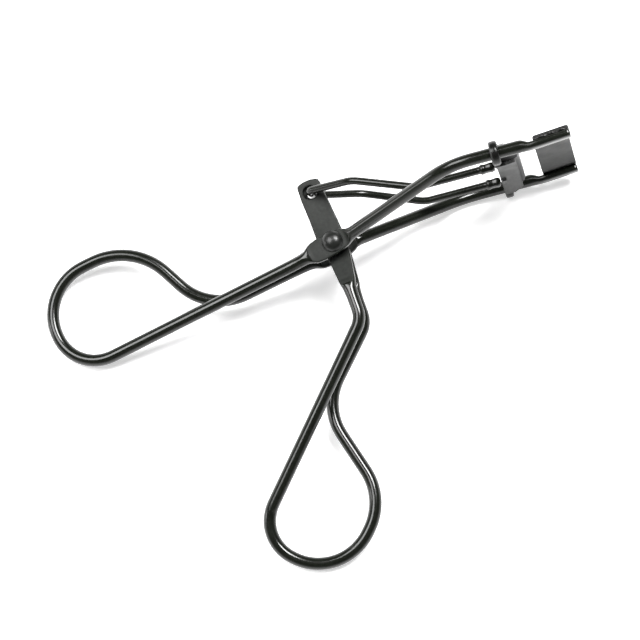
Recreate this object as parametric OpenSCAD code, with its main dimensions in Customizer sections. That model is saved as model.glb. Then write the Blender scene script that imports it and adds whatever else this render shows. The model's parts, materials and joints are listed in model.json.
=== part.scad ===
// Eyelash curler, lying on its side as it rests on a table.
// Everything is drawn in the tool's own plane first: the pivot pin is at the origin and runs
// along Z, the slide arms run towards +X, and the two finger loops are at -X and -Y.
// lie_down() then tips the tool onto its three resting points, so the table is Z = 0.

/* [Wire] */
// Diameter of the wire of the frame and the lever
wire_d = 2.4; // [2.2:0.1:2.6]
// Diameter of the push rod
push_d = 1.5; // [1.3:0.1:1.6]

/* [Pivot] */
// Distance from the middle plane to the middle of each frame eye
eye_z = 3.6; // [3.5:0.05:3.8]
// Thickness of the frame eyes, pressed from the wire
eye_t = 1.2; // [1:0.1:1.2]
// Width of a frame eye across its hole
eye_w = 4.4; // [4.2:0.1:5]
// Diameter of the rivet's shank
rivet_d = 2.4; // [2:0.1:2.5]
// Diameter of the rivet's domed heads
rivet_head_d = 3.9; // [3.6:0.1:4.2]
// Height of the rivet's domed heads
rivet_head_h = 1.1; // [0.8:0.1:1.4]
// Outer diameter of the spacers on the rivet
spacer_d = 3.8; // [3.4:0.1:4]
// Radial clearance of parts that turn or slide on each other
running_gap = 0.05; // [0.03:0.01:0.08]

/* [Frame arms and head] */
// Height of the slide arms above the pivot, in the tool's plane
arm_y = 5.8; // [5.4:0.1:6.2]
// Half the distance between the two slide arms, middle to middle
arm_z = 16.4; // [16:0.1:17]
// Where the spread arms turn parallel
arm_bend_x = 25.6; // [25:0.1:26]
// Where the head starts to lean
head_x = 41.2; // [41:0.1:42]
// End of the arms
arm_end_x = 48.6; // [48:0.1:49.5]
// Lean of the head
head_lean = 4; // [3:0.5:5]
// Thickness of the arms where they are pressed flat under the fixed jaw
arm_flat_t = 1.5; // [1.3:0.1:1.7]

/* [Handles] */
// Direction of the frame's stem from the pivot, in degrees
frame_angle = 192.1; // [190:0.1:194]
// Distance of the frame's stem from the pivot, across its direction
frame_offset = 0.4; // [0.3:0.1:0.6]
// Direction of the lever's stem, in degrees
lever_angle = 230.4; // [229:0.1:232]
// Distance of the lever's stem from the pivot, across its direction
lever_offset = 11.4; // [11.2:0.1:11.6]
// Distance from the pivot to the far end of the frame's finger loop
frame_reach = 56.7; // [56:0.1:57.5]
// Distance from the pivot to the far end of the lever's finger loop
lever_reach = 57.15; // [56.5:0.05:58]
// Width of the frame's finger loop, wire middle to wire middle
frame_loop_w = 19.2; // [19:0.1:19.6]
// Width of the lever's finger loop, wire middle to wire middle
lever_loop_w = 18.3; // [18.1:0.1:18.8]

/* [Lever] */
// Direction of the strap above the pivot, in degrees
strap_angle = 102; // [101:0.5:103]
// Direction of the lever's short arm below the pivot, in degrees
short_arm_angle = -83.5; // [-85:0.5:-82]
// Width of the strap
strap_w = 4.6; // [4.4:0.1:4.8]
// Thickness of each of the strap's two leaves
leaf_t = 1.1; // [1:0.05:1.2]
// Distance from the middle plane to the middle of each leaf
leaf_z = 0.75; // [0.7:0.05:0.8]
// Distance from the pivot to the hole at the strap's tip
crank_r = 11.2; // [11:0.1:11.4]
// Diameter of the hole at the strap's tip
crank_hole_d = 2.6; // [2.5:0.1:2.8]
// Length of the strap from the pivot to its rounded end
strap_l = 13.7; // [13.5:0.1:14]

/* [Jaws] */
// Radius of the arc that both jaws follow
jaw_r = 45; // [43:1:48]
// Height of the arc's crown above the pivot, in the tool's plane
crown_y = 8.7; // [8.5:0.1:8.9]
// Thickness of the fixed jaw's plate
fixed_t = 0.8; // [0.7:0.1:1]
// Start of the fixed jaw
fixed_x = 41.6; // [41.5:0.05:41.7]
// Length of the fixed jaw along the arms
fixed_l = 6.5; // [6:0.1:6.6]
// Back of the moving jaw at rest
moving_x = 33.5; // [33.3:0.1:33.6]
// Thickness of the moving jaw's base
base_t = 1.1; // [1:0.1:1.2]
// Outer diameter of the moving jaw's ring eyes
ring_d = 4.5; // [4.3:0.1:4.7]
// Thickness of the moving jaw's walls
wall_t = 0.6; // [0.5:0.1:0.6]
// Length of the moving jaw's lower wall, from its back
wall_l = 3.5; // [3.2:0.1:3.8]
// Length of the moving jaw's upper lip, from its back
lip_l = 2.6; // [2.2:0.1:3]
// Thickness of the silicone pad
pad_t = 2.7; // [2.5:0.1:2.8]
// How far the pad stands out in front of the lower wall
pad_proud = 1.2; // [1:0.1:1.3]

/* [Push rod] */
// Height of the push rod's straight legs above the pivot
leg_y = 5.3; // [5.1:0.1:5.5]
// Distance of the legs from the middle plane
leg_z = 7.5; // [7.2:0.1:7.8]
// Diameter of the riveted ends in the moving jaw
tenon_d = 1.1; // [1:0.1:1.2]

/* [Hidden] */
$fn = 96;

wire_r = wire_d / 2;
bore_gap = 0.02;
bend_lap = 0.2;
bend_step = 0.05;
steel = "#303132";
pressed_steel = "#4b4d4c";
silicone = "#1c1c1d";

// A point beside a handle's stem: how far along it, how far across it, and its height.
function beside(angle, along, across, z) = [
    along * cos(angle) - across * sin(angle),
    along * sin(angle) + across * cos(angle),
    z
];
function unit(v) = v / norm(v);
function flip_z(p) = [p.x, p.y, -p.z];

// The frame's wire, from the upper eye round the finger loop to the lower eye.
stem_start = 5.5;
stem_start_z = 2.7;
frame_neck = 27.9;
frame_shoulder = 35.7;
frame_path = [
    beside(frame_angle, stem_start, frame_offset, stem_start_z),
    beside(frame_angle, frame_reach, frame_offset - 0.3, 0.8),
    beside(frame_angle, frame_reach, frame_offset - frame_loop_w, 0.1),
    beside(frame_angle, frame_shoulder, frame_offset - frame_loop_w, -0.7),
    beside(frame_angle, frame_neck, frame_offset, -1.7),
    beside(frame_angle, stem_start, frame_offset, -stem_start_z)
];
frame_bends = [8.5, 10.1, 13.2, 11.7];

// An arm of the frame, from its eye to its end.
arm_start = [3.2, 0.5, eye_z];
head_rise = (arm_end_x - head_x) * tan(head_lean);
arm_path = [
    arm_start,
    [arm_bend_x, arm_y, arm_z],
    [head_x, arm_y, arm_z],
    [arm_end_x, arm_y + head_rise, arm_z]
];
arm_bends = [14, 20];

// The lever's wire, from its upper leaf round the finger loop to its lower leaf.
short_arm_z = 3.45;
leaf_end = 7.8;
leaf_end_z = 2.9;
lever_neck = 29.1;
lever_shoulder = 39.6;
short_arm_l = 15.8;
short_arm_dir = [cos(short_arm_angle), sin(short_arm_angle), 0];
lever_start = short_arm_dir * (leaf_end - 0.8) + [0, 0, leaf_end_z - 0.2];
lever_elbow = short_arm_dir * short_arm_l + [0, 0, short_arm_z];
lever_path = [
    lever_start,
    lever_elbow,
    beside(lever_angle, lever_reach, lever_offset, 0.8),
    beside(lever_angle, lever_reach, lever_offset + lever_loop_w, -0.2),
    beside(lever_angle, lever_shoulder, lever_offset + lever_loop_w, -1.2),
    beside(lever_angle, lever_neck, lever_offset, -2.4),
    flip_z(lever_elbow),
    flip_z(lever_start)
];
lever_bends = [4.5, 7.6, 10.4, 11.1, 11, 4.5];

// The push rod, from one riveted end through the strap's hole to the other.
crank = [crank_r * cos(strap_angle), crank_r * sin(strap_angle), 0];
crossbar_y = crank.y + 0.13;
crossbar_z = 2.35;
push_leg = [
    [crank.x, crossbar_y, crossbar_z],
    [6.5, 9.95, 6.8],
    [18.2, leg_y, leg_z],
    [moving_x, leg_y, leg_z]
];
push_path = [
    push_leg[3], push_leg[2], push_leg[1], push_leg[0],
    flip_z(push_leg[0]), flip_z(push_leg[1]), flip_z(push_leg[2]), flip_z(push_leg[3])
];
push_bends = [6, 6, 1.2, 1.2, 6, 6];

// The jaws' arc is centred below the tool.
arc_y = crown_y - jaw_r;
pad_inner_r = jaw_r - 2.2;
pad_outer_r = pad_inner_r + pad_t;
lip_outer_r = pad_outer_r + wall_t - 0.1;
wall_inner_r = pad_inner_r - wall_t;
jaw_half = 13.2;
pad_half = 12.6;

// The middle of the wire at the three places where the tool touches the table.
touch_arm = [arm_bend_x + 1.4, arm_y - 0.2, 0.2 - arm_z];
touch_frame = beside(frame_angle, frame_reach - 0.6, frame_offset - 5.6, 0.5);
touch_lever = beside(lever_angle, lever_reach - 0.3, lever_offset + 5.6, 0.45);
function plane_normal(a, b, c) = unit(cross(b - a, c - a));
up = plane_normal(touch_arm, touch_frame, touch_lever);
rest_gap = 0.025;
table = up * touch_frame - wire_r - rest_gap;
// Middle of the lying tool's outline on the table, which is the part's origin.
plan_centre = [-3.451, -22.875];

module lie_down() {
    translate([-plan_centre.x, -plan_centre.y, -table])
        rotate(a = acos(up.z), v = cross(up, [0, 0, 1]))
            children();
}

// A straight round bar between two points.
module bar(a, b, d) {
    run = b - a;
    translate(a)
        rotate([0, acos(run.z / norm(run)), atan2(run.y, run.x)])
            cylinder(h = norm(run), d = d);
}

// A wire through corner points, rounded at each inner corner with its own bend radius. Each
// bend is a hair thinner than the wire and starts just inside the straight length before it.
module bent_wire(path, bends, d) {
    last = len(path) - 1;
    dirs = [for (i = [0:last - 1]) unit(path[i + 1] - path[i])];
    turns = [for (i = [1:last - 1]) acos(dirs[i - 1] * dirs[i])];
    trims = [0, for (i = [0:last - 2]) bends[i] * tan(turns[i] / 2), 0];
    for (i = [0:last - 1]) {
        start = path[i] + dirs[i] * trims[i];
        end = path[i + 1] - dirs[i] * trims[i + 1];
        bar(start, end, d);
    }
    for (i = [1:last - 1])
        bend(path[i] - dirs[i - 1] * trims[i], dirs[i - 1], dirs[i], bends[i - 1], turns[i - 1], d);
}

// One bend of a wire, starting at a point and turning from one direction to another.
module bend(start, from, to, radius, turn, d) {
    axis = unit(cross(from, to));
    inward = cross(axis, from);
    middle = start + inward * radius;
    lap = bend_lap / radius * 180 / PI;
    multmatrix([
        [-inward.x, from.x, axis.x, middle.x],
        [-inward.y, from.y, axis.y, middle.y],
        [-inward.z, from.z, axis.z, middle.z],
        [0, 0, 0, 1]
    ])
        rotate([0, 0, -lap])
            rotate_extrude(angle = turn + 2 * lap)
                translate([radius, 0])
                    circle(d = d - bend_step);
}

// Draws the children on both sides of the middle plane.
module both_sides() {
    children();
    mirror([0, 0, 1]) children();
}

// Extrudes an outline drawn in the plane across the arms, with Y up.
module across_arms(x, length) {
    translate([x, 0, 0])
        rotate([0, 90, 0])
            linear_extrude(length)
                children();
}

// A band of the jaws' arc, half_width to each side of the middle plane.
module arc_band(inner_r, outer_r, half_width) {
    intersection() {
        translate([0, arc_y])
            difference() {
                circle(r = outer_r, $fn = 200);
                circle(r = inner_r, $fn = 200);
            }
        translate([-half_width, -5])
            square([2 * half_width, 20]);
    }
}

// A frame eye: the wire pressed to a flat with bowed edges and a rivet hole.
module frame_eye() {
    eye_middle = 1.4;
    eye_half_l = 4.7;
    bow = eye_w / 2 - wire_r;
    bow_r = (pow(eye_half_l, 2) + pow(bow, 2)) / (2 * bow);
    translate([0, 0, eye_z - eye_t / 2])
        linear_extrude(eye_t)
            rotate(frame_angle)
                translate([eye_middle, frame_offset])
                    intersection() {
                        translate([0, eye_w / 2 - bow_r]) circle(r = bow_r, $fn = 200);
                        translate([0, bow_r - eye_w / 2]) circle(r = bow_r, $fn = 200);
                        square([2 * eye_half_l, eye_w], center = true);
                    }
}

module frame_handle() {
    press_from = 0.2;
    press_l = 12;
    difference() {
        union() {
            color(steel) bent_wire(frame_path, frame_bends, wire_d);
            both_sides() {
                color(steel) bent_wire(arm_path, arm_bends, wire_d);
                color(pressed_steel) frame_eye();
            }
        }
        // rivet bore
        translate([0, 0, -10])
            cylinder(h = 20, d = rivet_d + 2 * bore_gap);
        // the arms' upper sides are pressed flat under the fixed jaw
        both_sides()
            translate([head_x, arm_y, arm_z])
                rotate([0, 0, head_lean])
                    translate([press_from, arm_flat_t - wire_r, -wire_d])
                        cube([press_l, wire_d, 2 * wire_d]);
    }
}

// Everything on the leaning head is placed from the head's bend.
module on_head() {
    translate([head_x, arm_y, 0])
        rotate([0, 0, head_lean])
            translate([-head_x, -arm_y, 0])
                children();
}

module fixed_jaw() {
    seat_y = arm_y + arm_flat_t - wire_r;
    color(steel)
        on_head()
            across_arms(fixed_x, fixed_l) {
                arc_band(jaw_r - fixed_t / 2, jaw_r + fixed_t / 2, arm_z - 1.6);
                // the plate's two feet on the pressed arms
                for (side = [-1, 1])
                    translate([side * (arm_z - 0.9) - 1.3, seat_y + bore_gap])
                        square([2.6, fixed_t]);
            }
}

// The bead of weld metal along the outer edge of a jaw foot.
module jaw_weld() {
    bead_d = 0.9;
    seat_y = arm_y + arm_flat_t - wire_r;
    color(steel)
        on_head()
            difference() {
                translate([fixed_x + 0.4, seat_y + 0.25, arm_z + 0.45])
                    rotate([0, 90, 0])
                        cylinder(h = fixed_l - 0.8, d = bead_d);
                translate([fixed_x - 1, seat_y - 1 + bore_gap, arm_z - 1])
                    cube([fixed_l + 2, 1, 3]);
                translate([fixed_x - 1, seat_y - 1, arm_z - 1])
                    cube([fixed_l + 2, 3, 1.42]);
            }
}

module jaw_weld_top() {
    jaw_weld();
}

module jaw_weld_bottom() {
    mirror([0, 0, 1]) jaw_weld();
}

// One leaf of the strap: straight sides and an arc at the tip.
module strap_leaf() {
    tip_r = 4.7;
    heel = 2.2;
    translate([0, 0, leaf_z - leaf_t / 2])
        linear_extrude(leaf_t)
            rotate(strap_angle)
                intersection() {
                    translate([-heel, -strap_w / 2])
                        square([heel + strap_l, strap_w]);
                    union() {
                        translate([strap_l - tip_r, 0]) circle(r = tip_r, $fn = 200);
                        translate([-heel, -strap_w / 2]) square([heel + strap_l - tip_r, strap_w]);
                    }
                }
}

// The slanting leaf that joins the strap to the round wire of the short arm.
module slant_leaf() {
    slant_from = 1.8;
    slant = atan((leaf_end_z - leaf_z) / (leaf_end - slant_from));
    slant_l = (leaf_end - slant_from) / cos(slant);
    translate([0, 0, leaf_z])
        rotate(short_arm_angle)
            translate([slant_from, 0, 0])
                rotate([0, -slant, 0])
                    translate([0, 0, -leaf_t / 2])
                        linear_extrude(leaf_t)
                            polygon([
                                [-0.2, -2.25], [slant_l, -1.55],
                                [slant_l, 1.55], [-0.2, 2.25]
                            ]);
}

module lever_handle() {
    difference() {
        union() {
            color(steel) bent_wire(lever_path, lever_bends, wire_d);
            color(pressed_steel) both_sides() {
                strap_leaf();
                slant_leaf();
            }
        }
        translate([0, 0, -10])
            cylinder(h = 20, d = rivet_d + 2 * running_gap);
        translate([crank.x, crank.y, -10])
            cylinder(h = 20, d = crank_hole_d);
    }
}

module pivot_rivet() {
    face_z = eye_z + eye_t / 2;
    dome_r = (pow(rivet_head_d / 2, 2) + pow(rivet_head_h, 2)) / (2 * rivet_head_h);
    color(steel) {
        translate([0, 0, -face_z])
            cylinder(h = 2 * face_z, d = rivet_d);
        both_sides()
            intersection() {
                translate([0, 0, face_z + rivet_head_h - dome_r])
                    sphere(r = dome_r);
                translate([0, 0, face_z])
                    cylinder(h = rivet_head_h + 1, d = rivet_head_d + 1);
            }
    }
}

// A short sleeve on the rivet between the lever's leaf and a frame eye.
module pivot_spacer() {
    low = leaf_z + leaf_t / 2 + running_gap;
    high = eye_z - eye_t / 2 - bore_gap;
    color(steel)
        translate([0, 0, low])
            difference() {
                cylinder(h = high - low, d = spacer_d);
                translate([0, 0, -1])
                    cylinder(h = high - low + 2, d = rivet_d + 2 * bore_gap);
            }
}

module pivot_spacer_top() {
    pivot_spacer();
}

module pivot_spacer_bottom() {
    mirror([0, 0, 1]) pivot_spacer();
}

module push_rod() {
    color(steel) {
        bent_wire(push_path, push_bends, push_d);
        both_sides()
            bar(push_leg[3] - [1, 0, 0], push_leg[3] + [base_t, 0, 0], tenon_d);
    }
}

module moving_jaw() {
    tab_w = 3.4;
    tab_low = 4.2;
    color(steel)
        difference() {
            union() {
                // base with its ring eyes and the two tabs that hold the push rod
                across_arms(moving_x, base_t) {
                    arc_band(wall_inner_r, lip_outer_r, jaw_half + 0.4);
                    for (side = [-1, 1]) {
                        polygon([
                            [side * jaw_half, arm_y - ring_d / 2 + 0.2],
                            [side * arm_z, arm_y - ring_d / 2 + 0.01],
                            [side * arm_z, arm_y + ring_d / 2 - 0.01],
                            [side * jaw_half, arm_y + ring_d / 2 - 0.4]
                        ]);
                        translate([side * arm_z, arm_y])
                            circle(d = ring_d);
                        translate([side * leg_z - tab_w / 2, tab_low])
                            square([tab_w, 3]);
                    }
                }
                across_arms(moving_x, wall_l)
                    arc_band(wall_inner_r, pad_inner_r, jaw_half);
                across_arms(moving_x, lip_l)
                    arc_band(pad_outer_r, lip_outer_r, jaw_half);
            }
            both_sides() {
                translate([moving_x - 1, arm_y, arm_z])
                    rotate([0, 90, 0])
                        cylinder(h = base_t + 2, d = wire_d + 2 * running_gap);
                translate([moving_x - 1, leg_y, leg_z])
                    rotate([0, 90, 0])
                        cylinder(h = base_t + 2, d = tenon_d + 2 * bore_gap);
                // the wall's ends are cut back towards its front edge
                translate([moving_x + base_t + 0.1, arc_y, jaw_half])
                    rotate([0, 40, 0])
                        cube([12, 60, 6]);
            }
        }
}

module lash_pad() {
    pad_gap = 0.03;
    front = moving_x + wall_l + pad_proud;
    color(silicone)
        across_arms(moving_x + base_t + pad_gap, front - moving_x - base_t - pad_gap)
            arc_band(pad_inner_r + pad_gap, pad_outer_r - pad_gap, pad_half);
}

lie_down() frame_handle();
lie_down() fixed_jaw();
lie_down() jaw_weld_top();
lie_down() jaw_weld_bottom();
lie_down() lever_handle();
lie_down() pivot_rivet();
lie_down() pivot_spacer_top();
lie_down() pivot_spacer_bottom();
lie_down() push_rod();
lie_down() moving_jaw();
lie_down() lash_pad();
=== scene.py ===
"""Looks of an eyelash curler that lies on a pale table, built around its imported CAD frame.

Shapes are drawn in millimetres in the tool's own plane: the pivot is the origin, X runs along the
slide arms towards the head, Z is the pivot's axis. to_row() takes them to the row frame in metres.
"""
import json
import math
import random

import bpy
import numpy as np
from mathutils import Matrix, Vector


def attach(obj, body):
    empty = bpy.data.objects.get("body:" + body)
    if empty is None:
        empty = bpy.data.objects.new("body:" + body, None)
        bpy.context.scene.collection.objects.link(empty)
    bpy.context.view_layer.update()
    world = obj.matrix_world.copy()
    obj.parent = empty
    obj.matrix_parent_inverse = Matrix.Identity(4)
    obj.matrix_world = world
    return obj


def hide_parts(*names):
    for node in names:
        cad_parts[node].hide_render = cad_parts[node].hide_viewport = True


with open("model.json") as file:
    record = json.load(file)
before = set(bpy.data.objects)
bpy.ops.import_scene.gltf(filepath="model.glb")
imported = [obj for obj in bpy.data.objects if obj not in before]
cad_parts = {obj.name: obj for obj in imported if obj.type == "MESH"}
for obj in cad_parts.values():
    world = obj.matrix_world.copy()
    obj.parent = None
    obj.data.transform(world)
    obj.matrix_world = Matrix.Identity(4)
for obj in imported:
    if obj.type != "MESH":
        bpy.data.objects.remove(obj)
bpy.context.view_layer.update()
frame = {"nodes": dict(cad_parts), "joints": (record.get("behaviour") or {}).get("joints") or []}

# The tool's plane in the row frame, from the two joints' axes.
MM = 0.001
JOINTS = {joint["name"]: joint for joint in frame["joints"]}
TOOL_Z = -np.array(JOINTS["handle_squeeze"]["axis"])
TOOL_X = np.array(JOINTS["jaw_slide"]["axis"])
TOOL_Y = np.cross(TOOL_Z, TOOL_X)
PIVOT = np.array(JOINTS["handle_squeeze"]["pos_m"])

# Wires: radii of the handles' wire and the push rod, and how many points a handle's section has.
WIRE_R = 1.2
ROD_R = 0.75
WIRE_SIDES = 32
# A wire's rounded end: each ring's scale and how far it stands out.
WIRE_CAP = ((0.9, 0.12), (0.7, 0.2), (0.35, 0.22))
# Section power above which a wire counts as pressed flat, and the places that lie on its flats.
PRESSED_POWER = 4.5
FLAT_PLACES = range(4, 12)

# Slide arms and head.
ARM_Y = 5.8
ARM_Z = 16.4
ARM_BEND_X = 25.6
ARM_END_X = 48.2
HEAD_X = 41.2
HEAD_LEAN = math.radians(4)

# Directions from the pivot of the two handles' stems and of the lever's short arm.
FRAME_ANGLE = math.radians(192.1)
LEVER_ANGLE = math.radians(230.4)
SHORT_ARM = math.radians(-83.5)

# The strap's two leaves, and the push rod's crossbar and straight legs.
LEAF_Z = 0.76
LEAF_T = 1.06
CROSSBAR_X, CROSSBAR_Y = -2.33, 11.085
LEG_Y, LEG_Z = 5.3, 7.5

# Jaws: all their arcs share one middle below the tool. JAW_R, WALL_R and LIP_R are to a sheet's
# middle, and each IN and OUT pair is to a piece's edges.
JAW_R = 45.0
ARC_Y = 8.7 - JAW_R
FIXED_T = 0.78
BASE_X = 33.5
BASE_T = 1.1
BASE_IN, BASE_OUT = 42.2, 46.05
WALL_R = 42.5
LIP_R = 45.75
PAD_IN, PAD_OUT = 42.85, 45.45
PAD_BACK = 34.64
# The moving jaw's ends are cut back at an angle: half its length at CUT_X, and its loss per mm.
CUT_X, CUT_HALF, CUT_SLOPE = 34.8, 14.3, 0.9


# ---------------------------------------------------------------- geometry helpers
def to_row(points):
    """Points in the tool's plane, in millimetres, as row frame points in metres."""
    p = np.asarray(points, float) * MM
    return PIVOT + p[:, :1] * TOOL_X + p[:, 1:2] * TOOL_Y + p[:, 2:3] * TOOL_Z


def add_mesh(name, points, faces, body, material, sharp=None, replaces=None, slot=None, pressed=None):
    """A mesh piece from tool-plane points, riding on a body. pressed marks the faces in flat paint, whose
    lighter colour is partly painted light.
    """
    mesh = bpy.data.meshes.new(name)
    mesh.from_pydata([tuple(p) for p in to_row(points)], [], [tuple(f) for f in faces])
    mesh.validate()
    mesh.update()
    piece = bpy.data.objects.new(name, mesh)
    bpy.context.scene.collection.objects.link(piece)
    for polygon in mesh.polygons:
        polygon.use_smooth = True
    if sharp is not None:
        mesh.set_sharp_from_angle(angle=math.radians(sharp))
    mesh.materials.append(material)
    if pressed is not None:
        # the pressed flats get the flat paint: rougher, and lighter partly as painted light for the light
        # the flats catch
        mesh.materials.append(FLAT_PAINT_AND_PAINTED_LIGHT)
        for polygon, flat in zip(mesh.polygons, pressed):
            polygon.material_index = int(flat)
    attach(piece, body)
    if replaces:
        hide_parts(replaces)
    return piece


def soften_edges(piece, width):
    """Rounds a piece's sharp edges."""
    edge = piece.modifiers.new("edge", "BEVEL")
    edge.width = width * MM
    edge.segments = 3
    edge.limit_method = "ANGLE"
    edge.angle_limit = math.radians(50)


def beside(angle, along, across, z):
    """A point beside a handle's stem."""
    return np.array([
        along * math.cos(angle) - across * math.sin(angle),
        along * math.sin(angle) + across * math.cos(angle),
        z,
    ])


def along_short_arm(distance, z):
    """A point on the middle line of the lever's short arm."""
    return np.array([distance * math.cos(SHORT_ARM), distance * math.sin(SHORT_ARM), z])


def flip(p):
    """A point's twin on the tool's other side."""
    return np.array([p[0], p[1], -p[2]])


def leaned(points):
    """The head leans a little from the arms' last bend on."""
    c, s = math.cos(HEAD_LEAN), math.sin(HEAD_LEAN)
    x, y = points[:, 0] - HEAD_X, points[:, 1] - ARM_Y
    return np.stack([HEAD_X + c * x - s * y, ARM_Y + s * x + c * y, points[:, 2]], axis=1)


def circle(x, y, radius, count):
    """Points round a circle in a plate's own plane."""
    angles = [2 * math.pi * k / count for k in range(count)]
    return [(x + radius * math.cos(a), y + radius * math.sin(a)) for a in angles]


def arc_height(radius, z):
    """Height above the pivot of an arc of the jaws."""
    return ARC_Y + math.sqrt(radius ** 2 - z * z)


def arc_line(radius, half, count):
    """Places along the jaws' arc from -half to half, with their outward direction."""
    zs = np.linspace(-half, half, count)
    return [(z, arc_height(radius, z), z / radius, math.sqrt(1 - (z / radius) ** 2)) for z in zs]


def run_of(line):
    """Distance along a line at each of its points."""
    return np.concatenate([[0], np.cumsum(np.linalg.norm(np.diff(line, axis=0), axis=1))])


def bend_points(a, b, c, radius):
    """Points round the bend at corner b, or none where the line runs straight on."""
    before = (b - a) / np.linalg.norm(b - a)
    after = (c - b) / np.linalg.norm(c - b)
    turn = math.acos(max(-1.0, min(1.0, float(before @ after))))
    if turn < 1e-4:
        return []
    start = b - before * radius * math.tan(turn / 2)
    axis = np.cross(before, after) / math.sin(turn)
    inward = np.cross(axis, before)
    middle = start + inward * radius
    count = max(3, int(math.degrees(turn) / 3))
    turns = [turn * k / count for k in range(count + 1)]
    return [middle - inward * radius * math.cos(w) + before * radius * math.sin(w) for w in turns]


def bent_line(corners, radii, step=0.4, soften=0.5):
    """Evenly spaced points along straight runs joined by round bends, gently softened."""
    corners = [np.asarray(c, float) for c in corners]
    line = [corners[0]]
    for i, radius in enumerate(radii):
        line += bend_points(*corners[i:i + 3], radius)
    line.append(corners[-1])
    line = np.array(line)
    run = run_of(line)
    even = np.linspace(0, run[-1], int(run[-1] / step) + 1)
    line = np.stack([np.interp(even, run, line[:, k]) for k in range(3)], axis=1)
    reach = int(3 * soften / step)
    weights = np.exp(-0.5 * (np.arange(-reach, reach + 1) * step / soften) ** 2)
    weights /= weights.sum()
    padded = np.vstack([
        line[0] - (line[1] - line[0]) * np.arange(reach, 0, -1)[:, None],
        line,
        line[-1] + (line[-1] - line[-2]) * np.arange(1, reach + 1)[:, None],
    ])
    return np.stack([np.convolve(padded[:, k], weights, "valid") for k in range(3)], axis=1)


def tangents(line):
    """Unit direction of a line at each of its points."""
    tangent = np.gradient(line, axis=0)
    return tangent / np.linalg.norm(tangent, axis=1)[:, None]


def distance_from(line, point):
    """Signed distance along a line from the place on it that is nearest to a point."""
    run = run_of(line)
    return run - run[np.argmin(np.linalg.norm(line - point, axis=1))]


def distance_outward(line, place):
    """Distance along a wire's two like halves from a place on the upper one and from its twin."""
    half = len(line) // 2
    return np.concatenate([distance_from(line[:half], place), -distance_from(line[half:], flip(place))])


def ring_points(half_w, half_t, power, sides):
    """One cross-section: round at power 2, flat with rounded edges above it."""
    angles = np.linspace(0, 2 * math.pi, sides, endpoint=False)
    c, s = np.cos(angles), np.sin(angles)
    x = half_w * np.sign(c) * np.abs(c) ** (2 / power)
    y = half_t * np.sign(s) * np.abs(s) ** (2 / power)
    return x, y


def tube_faces(rings, sides, closed=False, capped=False):
    """Faces between rings of points that follow one another, facing outwards."""
    faces = []
    for ring in range(rings if closed else rings - 1):
        r, after = ring * sides, (ring + 1) % rings * sides
        for k in range(sides):
            n = (k + 1) % sides
            faces.append((r + k, r + n, after + n, after + k))
    if capped:
        faces.append(tuple(range(sides))[::-1])
        faces.append(tuple(range((rings - 1) * sides, rings * sides)))
    return faces


def fan_faces(rings, sides):
    """Triangles that close a tube at the two middle points that follow its rings."""
    first, top = rings * sides, (rings - 1) * sides
    faces = []
    for k in range(sides):
        n = (k + 1) % sides
        faces.append((first, n, k))
        faces.append((first + 1, top + k, top + n))
    return faces


def inside_out(faces):
    return [face[::-1] for face in faces]


def sweep(line, half_w, half_t, power, shift):
    """A wire along a line. Its width lies in the tool's plane and its thickness along Z, and its
    section is shifted sideways."""
    tangent = tangents(line)
    side = np.cross([0.0, 0.0, 1.0], tangent)
    side /= np.linalg.norm(side, axis=1)[:, None]
    normal = np.cross(tangent, side)
    rings = []
    for i, place in enumerate(line):
        x, y = ring_points(half_w[i], half_t[i], power[i], WIRE_SIDES)
        rings.append(place + (x + shift[i])[:, None] * side[i] + y[:, None] * normal[i])
    ends, tips = [], []
    for ring, outward in ((rings[0], -tangent[0]), (rings[-1], tangent[-1])):
        middle = ring.mean(axis=0)
        ends.append([middle + (ring - middle) * scale + out * outward for scale, out in WIRE_CAP])
        tips.append((middle + WIRE_CAP[-1][1] * outward)[None])
    stack = ends[0][::-1] + rings + ends[1]
    faces = tube_faces(len(stack), WIRE_SIDES) + fan_faces(len(stack), WIRE_SIDES)
    return np.vstack(stack + tips), faces


def pressed_faces(faces, power):
    """Marks the faces of a swept wire that are on the flats of its pressed lengths, for the flat paint and
    its painted light.
    """
    marks = []
    for number in range(len(faces)):
        ring = number // WIRE_SIDES - len(WIRE_CAP)
        pressed = 0 <= ring < len(power) and power[ring] > PRESSED_POWER
        marks.append(pressed and number % (WIRE_SIDES // 2) in FLAT_PLACES)
    return marks


def plate(name, loops, thickness, bevel, to_tool, body, material, **kw):
    """A stamped plate with softened edges, from 2-D loops in its own plane; later loops are holes."""
    curve = bpy.data.curves.new(name + "_outline", "CURVE")
    curve.dimensions = "2D"
    curve.fill_mode = "BOTH"
    curve.extrude = thickness / 2 - bevel
    curve.bevel_depth = bevel
    curve.bevel_resolution = 2
    curve.offset = -bevel
    for loop in loops:
        spline = curve.splines.new("POLY")
        spline.points.add(len(loop) - 1)
        for point, (x, y) in zip(spline.points, loop):
            point.co = (x, y, 0, 1)
        spline.use_cyclic_u = True
    holder = bpy.data.objects.new(name + "_outline", curve)
    bpy.context.scene.collection.objects.link(holder)
    mesh = bpy.data.meshes.new_from_object(holder.evaluated_get(bpy.context.evaluated_depsgraph_get()))
    points = np.array([v.co for v in mesh.vertices])
    faces = [tuple(p.vertices) for p in mesh.polygons]
    bpy.data.objects.remove(holder)
    bpy.data.curves.remove(curve)
    bpy.data.meshes.remove(mesh)
    piece = add_mesh(name, to_tool(points), faces, body, material, sharp=28, **kw)
    weld = piece.modifiers.new("weld", "WELD")
    weld.merge_threshold = 0.002 * MM


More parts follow.
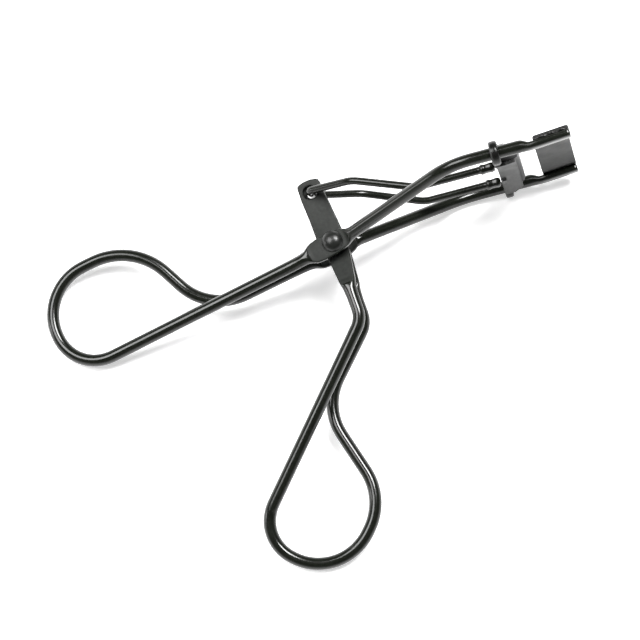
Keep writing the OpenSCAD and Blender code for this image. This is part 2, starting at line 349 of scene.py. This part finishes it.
def bent_sheet(name, mid_line, x_of, thickness, body, material, lean=False, bevel=0.12, **kw):
    """A bent strip of sheet metal. mid_line holds (z, y, z normal, y normal) along its bend, and
    x_of gives the strip's start and end along the arms at a z."""
    rows = 9
    count = len(mid_line)
    points, faces = [], []
    for face in (-0.5, 0.5):
        for z, y, nz, ny in mid_line:
            x0, x1 = x_of(z)
            for k in range(rows):
                x = x0 + (x1 - x0) * k / (rows - 1)
                points.append((x, y + face * thickness * ny, z + face * thickness * nz))

    def at(face, i, k):
        return (face * count + i) * rows + k

    for i in range(count - 1):
        for k in range(rows - 1):
            faces.append((at(0, i, k), at(0, i, k + 1), at(0, i + 1, k + 1), at(0, i + 1, k)))
            faces.append((at(1, i, k), at(1, i + 1, k), at(1, i + 1, k + 1), at(1, i, k + 1)))
        for k, turn in ((0, 1), (rows - 1, -1)):
            quad = (at(0, i, k), at(0, i + 1, k), at(1, i + 1, k), at(1, i, k))
            faces.append(quad[::turn])
    for i, turn in ((0, -1), (count - 1, 1)):
        for k in range(rows - 1):
            quad = (at(0, i, k), at(0, i, k + 1), at(1, i, k + 1), at(1, i, k))
            faces.append(quad[::turn])
    points = leaned(np.array(points)) if lean else np.array(points)
    soften_edges(add_mesh(name, points, faces, body, material, sharp=35, **kw), bevel)


# ---------------------------------------------------------------- materials
BARE_METAL = (0.16, 0.16, 0.155, 1)


def new_material(name):
    """A node material, with its node tree and its shader."""
    material = bpy.data.materials.new(name)
    material.use_nodes = True
    return material, material.node_tree, material.node_tree.nodes["Principled BSDF"]


def noise(tree, scale, detail):
    """A noise that is fixed to the piece."""
    where = tree.nodes.new("ShaderNodeTexCoord")
    texture = tree.nodes.new("ShaderNodeTexNoise")
    texture.inputs["Scale"].default_value = scale
    texture.inputs["Detail"].default_value = detail
    tree.links.new(where.outputs["Object"], texture.inputs["Vector"])
    return texture.outputs["Fac"]


def remap(tree, value, source, target):
    """A value taken from one range to another."""
    node = tree.nodes.new("ShaderNodeMapRange")
    node.inputs["From Min"].default_value, node.inputs["From Max"].default_value = source
    node.inputs["To Min"].default_value, node.inputs["To Max"].default_value = target
    tree.links.new(value, node.inputs["Value"])
    return node.outputs["Result"]


def two_tone(tree, value, *stops):
    """A colour between two stops, each a position and a colour."""
    ramp = tree.nodes.new("ShaderNodeValToRGB")
    for element, (position, color) in zip(ramp.color_ramp.elements, stops):
        element.position = position
        element.color = (*color, 1)
    tree.links.new(value, ramp.inputs["Fac"])
    return ramp.outputs["Color"]


def roughen(tree, shader, height, strength, depth):
    """Bumps the surface, with the depth in metres."""
    bump = tree.nodes.new("ShaderNodeBump")
    bump.inputs["Strength"].default_value = strength
    bump.inputs["Distance"].default_value = depth
    tree.links.new(height, bump.inputs["Height"])
    tree.links.new(bump.outputs["Normal"], shader.inputs["Normal"])


def painted(name, color, rough_low, rough_high, grain=1.0, worn=0.12, gleam=0.32):
    """Near-black paint on metal: mottled gloss, a fine orange-peel surface and rubbed edges."""
    material, tree, shader = new_material(name)
    shader.inputs["Specular IOR Level"].default_value = gleam

    cloud = noise(tree, 260, 5)
    gloss = remap(tree, cloud, (0.3, 0.7), (rough_low, rough_high))
    tree.links.new(gloss, shader.inputs["Roughness"])

    dark, light = [c * 0.8 for c in color], [c * 1.35 for c in color]
    tint = two_tone(tree, noise(tree, 1500, 3), (0.35, dark), (0.72, light))
    about = tree.nodes.new("ShaderNodeNewGeometry")
    rubbed = remap(tree, about.outputs["Pointiness"], (0.53, 0.62), (0, worn))
    patchy = tree.nodes.new("ShaderNodeMath")
    patchy.operation = "MULTIPLY"
    tree.links.new(rubbed, patchy.inputs[0])
    tree.links.new(cloud, patchy.inputs[1])
    blend = tree.nodes.new("ShaderNodeMix")
    blend.data_type = "RGBA"
    blend.inputs["B"].default_value = BARE_METAL
    tree.links.new(patchy.outputs["Value"], blend.inputs["Factor"])
    tree.links.new(tint, blend.inputs["A"])
    tree.links.new(blend.outputs["Result"], shader.inputs["Base Color"])

    roughen(tree, shader, noise(tree, 900, 4), 0.35 * grain, 0.00003)
    return material


def silicone_material():
    """Matt black silicone with a fine moulded grain and a little dust."""
    material, tree, shader = new_material("silicone_pad")
    shader.inputs["Sheen Weight"].default_value = 0.15
    shader.inputs["Sheen Roughness"].default_value = 0.4
    grain = noise(tree, 2200, 6)
    tint = two_tone(tree, grain, (0.4, (0.011, 0.011, 0.0115)), (0.75, (0.024, 0.024, 0.025)))
    tree.links.new(tint, shader.inputs["Base Color"])
    tree.links.new(remap(tree, grain, (0, 1), (0.5, 0.75)), shader.inputs["Roughness"])
    roughen(tree, shader, grain, 0.3, 0.00003)
    return material


def floor_material():
    """White card with a very faint tooth, bright enough to burn out as in a studio photo."""
    material, tree, shader = new_material("pale_floor")
    shader.inputs["Base Color"].default_value = (0.93, 0.93, 0.93, 1)
    shader.inputs["Roughness"].default_value = 0.8
    shader.inputs["Specular IOR Level"].default_value = 0.15
    shader.inputs["Emission Color"].default_value = (1, 1, 1, 1)
    shader.inputs["Emission Strength"].default_value = 0.5
    roughen(tree, shader, noise(tree, 700, 2), 0.05, 0.00002)
    return material


WIRE_PAINT = painted("wire_paint", (0.0062, 0.0074, 0.0052), 0.13, 0.22, grain=0.6, gleam=0.46)
# the flat paint's rougher, grainier finish is real; its lighter colour than the wire paint is painted
# light for the light the pressed flats catch
FLAT_PAINT_AND_PAINTED_LIGHT = painted("flat_paint_and_painted_light", (0.0112, 0.0128, 0.0108), 0.5, 0.64, grain=1.4, gleam=0.3)
JAW_PAINT = painted("jaw_paint", (0.022, 0.0226, 0.0214), 0.36, 0.5, gleam=0.44)
PLATE_PAINT = painted("plate_paint", (0.011, 0.0116, 0.0105), 0.3, 0.44, gleam=0.2)
# the moving jaw's two collars wear the welds' paint as well
WELD_PAINT = painted("weld_paint", (0.006, 0.006, 0.0056), 0.16, 0.32, grain=1.4, worn=0.1, gleam=0.3)
RIVET_PAINT = painted("rivet_paint", (0.0085, 0.0092, 0.0082), 0.26, 0.38, gleam=0.42)
SILICONE = silicone_material()


# ---------------------------------------------------------------- the two handles
def frame_wire():
    """Arm, pressed eye, stem, finger loop, and the same again on the lower side."""
    eye = beside(FRAME_ANGLE, 1.0, 0.35, 3.6)
    reach, shoulder, neck = 56.7, 35.7, 27.9
    stem, loop_side = 0.4, -18.8
    upper = [
        leaned(np.array([[ARM_END_X, ARM_Y, ARM_Z]]))[0],
        (HEAD_X, ARM_Y, ARM_Z),
        (ARM_BEND_X, ARM_Y, ARM_Z),
        (3.4, 0.55, 3.65),
        beside(FRAME_ANGLE, 4.2, stem, 3.5),
        beside(FRAME_ANGLE, 8.6, stem, 2.6),
    ]
    loop = [
        beside(FRAME_ANGLE, reach, stem - 0.3, 0.8),
        beside(FRAME_ANGLE, reach, loop_side, 0.1),
        beside(FRAME_ANGLE, shoulder, loop_side, -0.7),
        beside(FRAME_ANGLE, neck, stem, -1.7),
    ]
    upper_bends = [20, 14, 2.4, 5, 9]
    line = bent_line(
        upper + loop + [flip(p) for p in reversed(upper)],
        upper_bends + [8.5, 10.1, 13.2, 11.7] + upper_bends[::-1],
    )

    # pressed eyes round the rivet, a lens in outline, thin in section
    t = distance_outward(line, eye)
    eye_at = [-5.2, -4.3, -3.6, -2.6, -0.5, 1.6, 3.1, 3.9, 4.7, 5.8]
    width = np.interp(t, eye_at, [WIRE_R, 1.34, 1.66, 1.96, 2.16, 2.24, 2.04, 1.74, 1.36, WIRE_R])
    thick = np.interp(t, [-5.2, -4.3, -3.75, 3.45, 4.3, 5.4], [WIRE_R, 1.06, 0.6, 0.6, 1.04, WIRE_R])
    power = np.interp(t, [-5.2, -4.2, -3.7, 3.45, 4.1, 5.2], [2.0, 2.6, 9.0, 9.0, 3.0, 2.0])

    # the arms' ends are pressed flat on their upper side, under the fixed jaw
    x = line[:, 0]
    head_at = [38.6, 39.2, 40.0, 40.6, 41.3, 42.2]
    head = x > head_at[0]
    width = np.where(head, np.interp(x, head_at, [WIRE_R, WIRE_R, 1.0, 0.8, 0.75, 0.76]), width)
    thick = np.where(head, np.interp(x, head_at, [WIRE_R, 1.22, 1.26, 1.3, 1.34, 1.36]), thick)
    power = np.where(head, np.interp(x, head_at, [2, 2, 2.3, 2.7, 3.2, 3.4]), power)
    lowered = np.interp(x, [39.2, 40.0, 40.6, 41.3], [0.0, -0.22, -0.42, -0.44])
    points, faces = sweep(line, width, thick, power, lowered * np.sign(np.gradient(x)))
    add_mesh(
        "wire_frame", points, faces, "frame", WIRE_PAINT, replaces="frame_handle", slot="wire",
        pressed=pressed_faces(faces, power),
    )


def lever_wire():
    """Slanting leaf, short arm, finger loop, and the same again on the lower side."""
    leaf_heel = 1.6
    reach, shoulder, neck = 57.15, 39.6, 29.1
    stem, loop_side = 11.4, 29.7
    upper = [
        along_short_arm(-leaf_heel, 0.75),
        along_short_arm(1.9, 0.75),
        along_short_arm(7.9, 2.85),
        along_short_arm(15.8, 3.45),
    ]
    loop = [
        beside(LEVER_ANGLE, reach, stem, 0.8),
        beside(LEVER_ANGLE, reach, loop_side, -0.2),
        beside(LEVER_ANGLE, shoulder, loop_side, -1.2),
        beside(LEVER_ANGLE, neck, stem, -2.4),
    ]
    line = bent_line(
        upper + loop + [flip(p) for p in reversed(upper)],
        [2.5, 2.5, 4.5, 7.6, 10.4, 11.1, 11, 4.5, 2.5, 2.5],
        soften=0.35,
    )
    t = distance_outward(line, upper[0]) - leaf_heel
    width = np.interp(t, [0, 2.7, 8.1, 8.5, 9.6, 11.5], [2.3, 2.2, 1.6, 1.55, 1.33, WIRE_R])
    thick = np.interp(t, [8.0, 8.95, 10.2], [0.55, 1.1, WIRE_R])
    power = np.interp(t, [8.0, 8.5, 9.3, 10.2], [9.0, 3.6, 2.3, 2.0])
    points, faces = sweep(line, width, thick, power, np.zeros(len(line)))
    add_mesh(
        "wire_lever", points, faces, "lever", WIRE_PAINT, replaces="lever_handle", slot="wire",
        pressed=pressed_faces(faces, power),
    )


def strap_leaf(name, z, nudge, turn, hole_at, hole_r):
    """One flat leaf of the strap, with its hole for the push rod."""
    outline = [(-3.3, 2.0), (-3.75, 5.6), (-4.42, 9.6), (-4.64, 12.3)]
    outline += [(-4.58, 12.62), (-4.05, 12.98), (-3.4, 13.24), (-2.6, 13.42), (-1.7, 13.48), (-0.9, 13.42)]
    outline += [(-0.26, 13.2), (0.3, 10.03), (0.67, 8.34), (1.64, 2.96), (2.2, 0.2)]
    outline += [(2.2, -1.9), (-1.95, -2.4), (-2.9, 0.2)]
    c, s = math.cos(math.radians(turn)), math.sin(math.radians(turn))
    outline = [(c * x - s * y + nudge[0], s * x + c * y + nudge[1]) for x, y in outline]

    def to_tool(p):
        return p + np.array([0, 0, z])

    loops = [outline, circle(*hole_at, hole_r, 40)]
    # the strap's leaves wear the flat paint, which is lighter partly as painted light
    plate(name, loops, LEAF_T, 0.14, to_tool, "lever", FLAT_PAINT_AND_PAINTED_LIGHT, slot="wire")


# ---------------------------------------------------------------- pivot
def rivet():
    """The rivet, turned about the pivot's axis: a dome and its rim on each side of the shank."""
    sides = 64
    profile = [(0.02, 5.27), (0.5, 5.24), (0.98, 5.13), (1.4, 4.94), (1.72, 4.7), (1.94, 4.44)]
    profile += [(2.01, 4.3), (2.01, 4.22), (1.94, 4.17), (1.2, 4.16)]
    profile += [(radius, -z) for radius, z in reversed(profile)]
    points = [(x, y, z) for radius, z in profile for x, y in circle(0, 0, radius, sides)]
    faces = inside_out(tube_faces(len(profile), sides, capped=True))
    add_mesh("rivet_domed", points, faces, "frame", RIVET_PAINT, replaces="pivot_rivet", slot="rivet")


def spacers():
    """The spacers keep their CAD mesh and take the rivet's paint."""
    for node in ("pivot_spacer_top", "pivot_spacer_bottom"):
        frame["nodes"][node].data.materials.clear()
        frame["nodes"][node].data.materials.append(RIVET_PAINT)


# ---------------------------------------------------------------- push rod
def push_rod():
    """A thin wire bent to a U, with its two ends crushed to knobs against the moving jaw."""
    leg = [
        (CROSSBAR_X, CROSSBAR_Y, 2.35),
        (6.5, 9.95, 6.8),
        (18.2, LEG_Y, LEG_Z),
        (BASE_X - 0.15, LEG_Y, LEG_Z),
    ]
    line = bent_line(leg[::-1] + [flip(p) for p in leg], [6, 6, 1.2, 1.2, 6, 6], step=0.25, soften=0.25)
    x = line[:, 0]
    knob_at = [30.4, 30.9, 31.5, 32.1, 32.7, 33.2, 33.4]
    radius = ROD_R + np.interp(x, knob_at, [0, 0.3, 0.16, 0.2, 0.3, 0.12, -0.1])
    pinch = np.interp(x, [30.6, 31.4, 32.6, 33.4], [0, 0.8, 1.0, 0.4])
    sides = 24
    rings = []
    # the crossbar runs along Z, so the section's own Y is carried on from one place to the next
    normal = np.array([0.0, 1.0, 0.0])
    for i, tangent in enumerate(tangents(line)):
        normal = normal - tangent * (normal @ tangent)
        normal /= np.linalg.norm(normal)
        across, up = ring_points(radius[i], radius[i] - 0.1 * pinch[i], 2 + 1.4 * pinch[i], sides)
        rings.append(line[i] + across[:, None] * np.cross(normal, tangent) + up[:, None] * normal)
    points = np.vstack(rings + [line[:1], line[-1:]])
    faces = tube_faces(len(line), sides) + fan_faces(len(line), sides)
    add_mesh(
        "push_rod_wire", points, faces, "jaw_carriage", WIRE_PAINT,
        replaces="push_rod", slot="thin_wire",
    )


# ---------------------------------------------------------------- jaws
def fixed_jaw():
    """The curved plate whose ends lie flat on the pressed arms."""
    seat = ARM_Y + 0.72
    foot_end, foot_from, blend_length = 17.25, 13.2, 2.0
    back, front = 41.55, 48.45
    corner_from, corner_length = 16.3, 0.95
    line = []
    for z in np.linspace(-foot_end, foot_end, 93):
        blend = min(1.0, max(0.0, (abs(z) - foot_from) / blend_length))
        blend = blend * blend * (3 - 2 * blend)
        line.append([z, arc_height(JAW_R, z) * (1 - blend) + seat * blend])
    line = np.array(line)
    slope = np.gradient(line[:, 1], line[:, 0])
    size = np.sqrt(1 + slope ** 2)
    places = [(z, y, -m / n, 1 / n) for (z, y), m, n in zip(line, slope, size)]

    def x_of(z):
        corner = min(1.0, max(0.0, (abs(z) - corner_from) / corner_length))
        return back + 0.25 * corner, front - 0.55 * corner * corner

    bent_sheet(
        "jaw_fixed_plate", places, x_of, FIXED_T, "frame", PLATE_PAINT, lean=True, bevel=0.14,
        replaces="fixed_jaw", slot="jaw_plate",
    )


def weld_bead(side, node):
    """A lumpy bead of weld metal along the outer edge of a jaw foot."""
    rng = random.Random(7 if side > 0 else 11)
    count, sides = 60, 16
    back, front, thin_r = 41.6, 47.9, 0.24
    lift, outward = 0.42, 0.9
    # each lump's place along the edge, its width and its height
    lumps = []
    for _ in range(9):
        lumps.append((rng.uniform(41.8, 47.7), rng.uniform(0.25, 0.8), rng.uniform(0.0, 0.16)))
    points = []
    for i, x in enumerate(np.linspace(back, front, count)):
        radius = thin_r + sum(h * math.exp(-((x - at) / w) ** 2) for at, w, h in lumps)
        radius *= math.sqrt(max(0.02, 1 - (2 * i / (count - 1) - 1) ** 6))
        for k in range(sides):
            a = 2 * math.pi * k / sides
            y = ARM_Y + lift + 0.08 * math.sin(3.1 * x) + radius * 0.95 * math.sin(a)
            z = ARM_Z + outward + 0.05 * math.sin(2.3 * x + 1) + radius * 0.8 * math.cos(a)
            points.append((x, y, side * z))
    faces = tube_faces(count, sides, capped=True)
    if side > 0:
        faces = inside_out(faces)
    points = leaned(np.array(points))
    add_mesh("bead_" + node, points, faces, "frame", WELD_PAINT, replaces=node, slot="weld")


def jaw_base():
    """The moving jaw's back plate, with a ring eye round each arm and the push rod's tabs."""
    ring_r, bore_r = 2.25, 1.27
    tab_half, tab_y = 1.3, 4.95

    def ring_end(side, start):
        turns = [math.radians(start - 256 * k / 28) for k in range(29)]
        return [(side * ARM_Z + ring_r * math.cos(a), ARM_Y + ring_r * math.sin(a)) for a in turns]

    def lower_edge(z):
        y = arc_height(BASE_IN, z)
        return min(y, tab_y) if abs(abs(z) - LEG_Z) < tab_half else y

    loop = [(z, arc_height(BASE_OUT, z)) for z in np.linspace(-13.3, 13.3, 61)]
    loop += ring_end(1, 128)
    loop += [(z, lower_edge(z)) for z in np.linspace(13.2, -13.2, 89)]
    loop += ring_end(-1, -52)
    bores = [circle(side * ARM_Z, ARM_Y, bore_r, 36) for side in (-1, 1)]

    def to_tool(p):
        return np.stack([BASE_X + BASE_T / 2 - p[:, 2], p[:, 1], p[:, 0]], axis=1)

    plate(
        "jaw_moving_base", [loop] + bores, BASE_T, 0.16, to_tool, "jaw_carriage", JAW_PAINT,
        replaces="moving_jaw", slot="jaw_plate",
    )


def collar(name, side):
    """The rolled eye of the moving jaw round one arm."""
    turns, sides = 64, 20
    middle_r, middle_x = 1.8, BASE_X + 0.72
    points = []
    for i in range(turns):
        a = 2 * math.pi * i / turns
        for out, along in zip(*ring_points(0.5, 0.82, 2.8, sides)):
            radius = middle_r + out
            y, z = ARM_Y + radius * math.sin(a), ARM_Z + radius * math.cos(a)
            points.append((middle_x + along, y, side * z))
    faces = tube_faces(turns, sides, closed=True)
    if side < 0:
        faces = inside_out(faces)
    add_mesh(name, points, faces, "jaw_carriage", WELD_PAINT, slot="jaw_plate")


def jaw_end(x):
    """Half the length of the moving jaw's walls and pad: they are cut back towards the front."""
    longest = 13.6
    return min(longest, CUT_HALF - (x - CUT_X) * CUT_SLOPE)


def jaw_wall():
    """The moving jaw's lower wall, with a notch in its front edge near the upper arm."""
    thickness, back, shortest, front = 0.6, 33.55, 34.7, 37.35
    notch_from, notch_to, notch_front = 9.4, 11.4, 35.9

    def x_of(z):
        cut = CUT_X + (CUT_HALF - abs(z)) / CUT_SLOPE
        end = min(front, max(shortest, cut))
        return back, min(end, notch_front) if notch_from < z < notch_to else end

    places = arc_line(WALL_R, jaw_end(CUT_X), 81)
    bent_sheet("jaw_moving_wall", places, x_of, thickness, "jaw_carriage", JAW_PAINT, slot="jaw_plate")


def jaw_lip():
    """The low lip behind the pad, cut back at its two ends."""
    thickness, half, ends_from = 0.58, 13.2, 12.4
    back, front, ends_front = 34.4, 36.1, 35.6

    def x_of(z):
        return back, ends_front if abs(z) > ends_from else front

    places = arc_line(LIP_R, half, 61)
    bent_sheet("jaw_moving_lip", places, x_of, thickness, "jaw_carriage", JAW_PAINT, slot="jaw_plate")


def pad():
    """The silicone pad, a bar with a rounded front that fills the moving jaw's channel."""
    front, corner, shoulder = 38.2, 0.75, 35.8
    quarter = [math.pi / 2 * k / 8 for k in range(9)]
    tip = front - corner
    section = [(PAD_IN, PAD_BACK), (PAD_IN, shoulder)]
    section += [(PAD_IN + corner - corner * math.cos(a), tip + corner * math.sin(a)) for a in quarter]
    section += [(PAD_OUT - corner + corner * math.sin(a), tip + corner * math.cos(a)) for a in quarter]
    section += [(PAD_OUT, shoulder), (PAD_OUT, PAD_BACK)]
    count = 73
    points = []
    for u in np.linspace(-1, 1, count):
        for radius, x in section:
            z = u * min(12.8, jaw_end(x) - 0.25)
            points.append((x, arc_height(radius, z), z))
    faces = tube_faces(count, len(section), capped=True)
    piece = add_mesh(
        "pad_silicone", points, faces, "jaw_carriage", SILICONE, sharp=40, replaces="lash_pad", slot="pad"
    )
    soften_edges(piece, 0.2)


frame_wire()
lever_wire()
strap_leaf("strap_leaf_top", LEAF_Z, (0.0, 0.0), 0, (-2.4, 10.96), 1.4)
strap_leaf("strap_leaf_bottom", -LEAF_Z, (0.16, -0.14), 0.6, (-2.25, 11.03), 0.95)
rivet()
push_rod()
fixed_jaw()
weld_bead(1, "jaw_weld_top")
weld_bead(-1, "jaw_weld_bottom")
jaw_base()
collar("jaw_collar_top", 1)
collar("jaw_collar_bottom", -1)
jaw_wall()
jaw_lip()
pad()
spacers()


# ---------------------------------------------------------------- table, light and camera
def table():
    """A wide pale floor under the tool."""
    half = 3
    corners = [(-half, -half, 0), (half, -half, 0), (half, half, 0), (-half, half, 0)]
    floor_mesh = bpy.data.meshes.new("floor")
    floor_mesh.from_pydata(corners, [], [(0, 1, 2, 3)])
    floor = bpy.data.objects.new("floor", floor_mesh)
    bpy.context.scene.collection.objects.link(floor)
    floor_mesh.materials.append(floor_material())


def studio():
    """White surroundings, bright near the horizon and dim overhead."""
    world = bpy.data.worlds.new("studio")
    bpy.context.scene.world = world
    world.use_nodes = True
    tree = world.node_tree
    heading = tree.nodes.new("ShaderNodeTexCoord")
    height = tree.nodes.new("ShaderNodeSeparateXYZ")
    tree.links.new(heading.outputs["Generated"], height.inputs["Vector"])
    strength = remap(tree, height.outputs["Z"], (0.05, 0.4), (1.3, 0.08))
    tree.links.new(strength, tree.nodes["Background"].inputs["Strength"])
    tree.nodes["Background"].inputs["Color"].default_value = (1, 1, 1, 1)


def soft_box(name, at, size, power):
    """A rectangular lamp that points at the tool."""
    light = bpy.data.lights.new(name, "AREA")
    light.shape = "RECTANGLE"
    light.size, light.size_y = size
    light.energy = power
    lamp = bpy.data.objects.new(name, light)
    lamp.location = at
    lamp.rotation_euler = (-Vector(at)).to_track_quat("-Z", "Y").to_euler()
    bpy.context.scene.collection.objects.link(lamp)


def camera():
    """The photo's camera: above and in front, a little to the left."""
    lens = bpy.data.cameras.new("camera")
    lens.sensor_width = 36
    lens.lens = 117.45
    lens.clip_start = 0.01
    holder = bpy.data.objects.new("camera", lens)
    holder.location = (-0.021524, -0.100853, 0.392759)
    right = Vector((0.976245, -0.216208, -0.014151))
    up = Vector((0.211453, 0.936459, 0.279879))
    back = right.cross(up).normalized()
    holder.rotation_euler = Matrix((right, up, back)).transposed().to_euler()
    bpy.context.scene.collection.objects.link(holder)
    bpy.context.scene.camera = holder


table()
studio()
soft_box("key", (0.3, 0.27, 0.95), (0.4, 0.3), 14.0)
soft_box("fill", (-0.5, 0.25, 0.9), (0.5, 0.5), 8.0)
soft_box("left", (-0.95, 0.16, 0.26), (0.16, 0.24), 0.9)
camera()
bpy.context.scene.view_settings.view_transform = "Standard"
